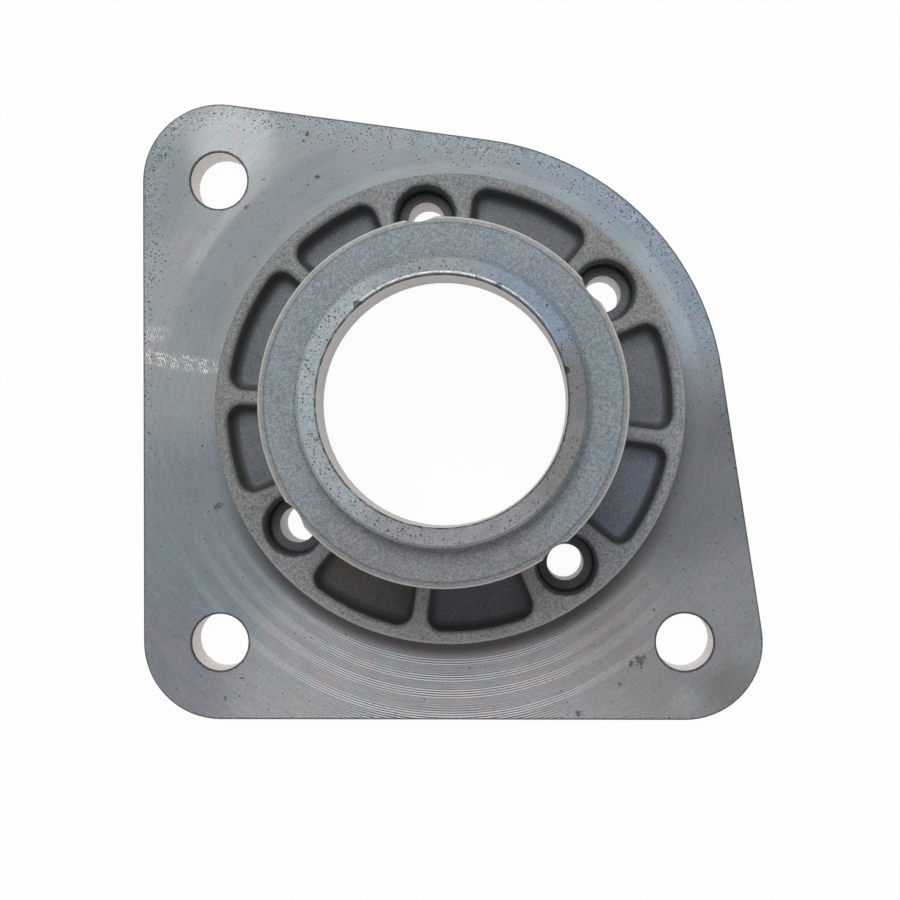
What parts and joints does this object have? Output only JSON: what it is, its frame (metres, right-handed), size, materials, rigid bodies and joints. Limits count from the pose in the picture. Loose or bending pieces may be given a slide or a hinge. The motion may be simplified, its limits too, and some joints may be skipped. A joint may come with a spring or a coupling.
{
  "type": "starter end housing",
  "caption": "Cast aluminium drive-end housing of a starter: lugged flange, round pilot with cast pockets, and a tall nose round a through bore.",
  "frame": {"origin": "on the bore axis, in the plane of the back face that seats on the starter body", "axes": "+Z along the bore axis from the back face to the nose; +X and +Y along the sides of the square of lug holes, with the corner that has no lug at +X +Y"},
  "size_m": [0.12, 0.12, 0.0495],
  "materials": {
    "casting": "cast and machined, worn"
  },
  "bodies": {
    "root": {"housing": "casting"}
  },
  "joints": []
}
